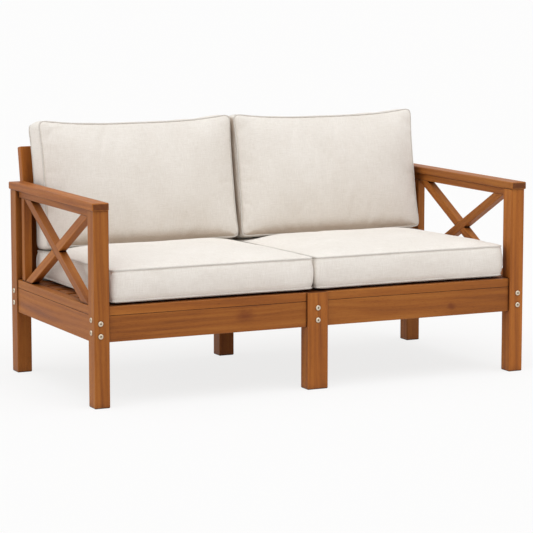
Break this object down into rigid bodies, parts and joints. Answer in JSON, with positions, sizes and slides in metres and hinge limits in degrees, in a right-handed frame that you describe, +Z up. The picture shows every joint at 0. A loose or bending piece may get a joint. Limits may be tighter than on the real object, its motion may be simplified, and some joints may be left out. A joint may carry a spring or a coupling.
{
  "type": "patio loveseat",
  "caption": "Wooden patio loveseat with crossed side panels under flat arms, a leaning slatted back, and loose crowned seat and back cushions.",
  "frame": {"origin": "centre of the loveseat's box at floor level, under the middle of the seat", "axes": "+X along the seat, to the right as seen from the front; -Y out of the front; +Z up"},
  "size_m": [1.408, 0.7452, 0.7694],
  "materials": {
    "frame_wood": "oiled straight-grained hardwood, warm honey brown",
    "seat_fabric": "off-white linen-like outdoor weave with corded seams",
    "back_fabric": "off-white linen-like outdoor weave with corded seams",
    "fastener_steel": "satin nickel-plated steel"
  },
  "bodies": {
    "frame": {"armrest_left": "frame_wood", "armrest_right": "frame_wood", "back_post_bolts": "fastener_steel", "back_post_centre": "frame_wood", "back_post_left": "frame_wood", "back_post_right": "frame_wood", "back_slat_left_1": "frame_wood", "back_slat_left_2": "frame_wood", "back_slat_left_3": "frame_wood", "back_slat_left_4": "frame_wood", "back_slat_right_1": "frame_wood", "back_slat_right_2": "frame_wood", "back_slat_right_3": "frame_wood", "back_slat_right_4": "frame_wood", "barrel_nuts": "fastener_steel", "centre_bearer": "frame_wood", "connector_bolts": "fastener_steel", "falling_brace_left": "frame_wood", "falling_brace_right": "frame_wood", "front_apron_left": "frame_wood", "front_apron_right": "frame_wood", "front_leg_centre": "frame_wood", "front_leg_left": "frame_wood", "front_leg_right": "frame_wood", "front_seat_rail_left": "frame_wood", "front_seat_rail_right": "frame_wood", "panel_stile_left": "frame_wood", "panel_stile_right": "frame_wood", "rear_apron_left": "frame_wood", "rear_apron_right": "frame_wood", "rear_leg_centre": "frame_wood", "rear_leg_left": "frame_wood", "rear_leg_right": "frame_wood", "rising_brace_left": "frame_wood", "rising_brace_right": "frame_wood", "seat_slat_1": "frame_wood", "seat_slat_2": "frame_wood", "seat_slat_3": "frame_wood", "seat_slat_4": "frame_wood", "seat_slat_5": "frame_wood", "seat_slat_6": "frame_wood", "seat_slat_7": "frame_wood", "side_apron_left": "frame_wood", "side_apron_right": "frame_wood", "side_seat_rail_left": "frame_wood", "side_seat_rail_right": "frame_wood", "slat_cleat_left": "frame_wood", "slat_cleat_right": "frame_wood", "under_arm_rail_left": "frame_wood", "under_arm_rail_right": "frame_wood"},
    "seat_pad_left": {"seat_cushion_left": "seat_fabric"},
    "seat_pad_right": {"seat_cushion_right": "seat_fabric"},
    "back_pad_left": {"back_cushion_left": "back_fabric"},
    "back_pad_right": {"back_cushion_right": "back_fabric"}
  },
  "joints": [
    {"name": "seat_pull_left", "type": "slide", "parent": "frame", "child": "seat_pad_left", "axis": [0, -1, 0], "range_m": [0, 0.65]},
    {"name": "back_lift_left", "type": "slide", "parent": "frame", "child": "back_pad_left", "axis": [0, 0.1736, 0.9848], "range_m": [0, 0.4]},
    {"name": "seat_pull_right", "type": "slide", "parent": "frame", "child": "seat_pad_right", "axis": [0, -1, 0], "range_m": [0, 0.65]},
    {"name": "back_lift_right", "type": "slide", "parent": "frame", "child": "back_pad_right", "axis": [0, 0.1736, 0.9848], "range_m": [0, 0.4]}
  ]
}
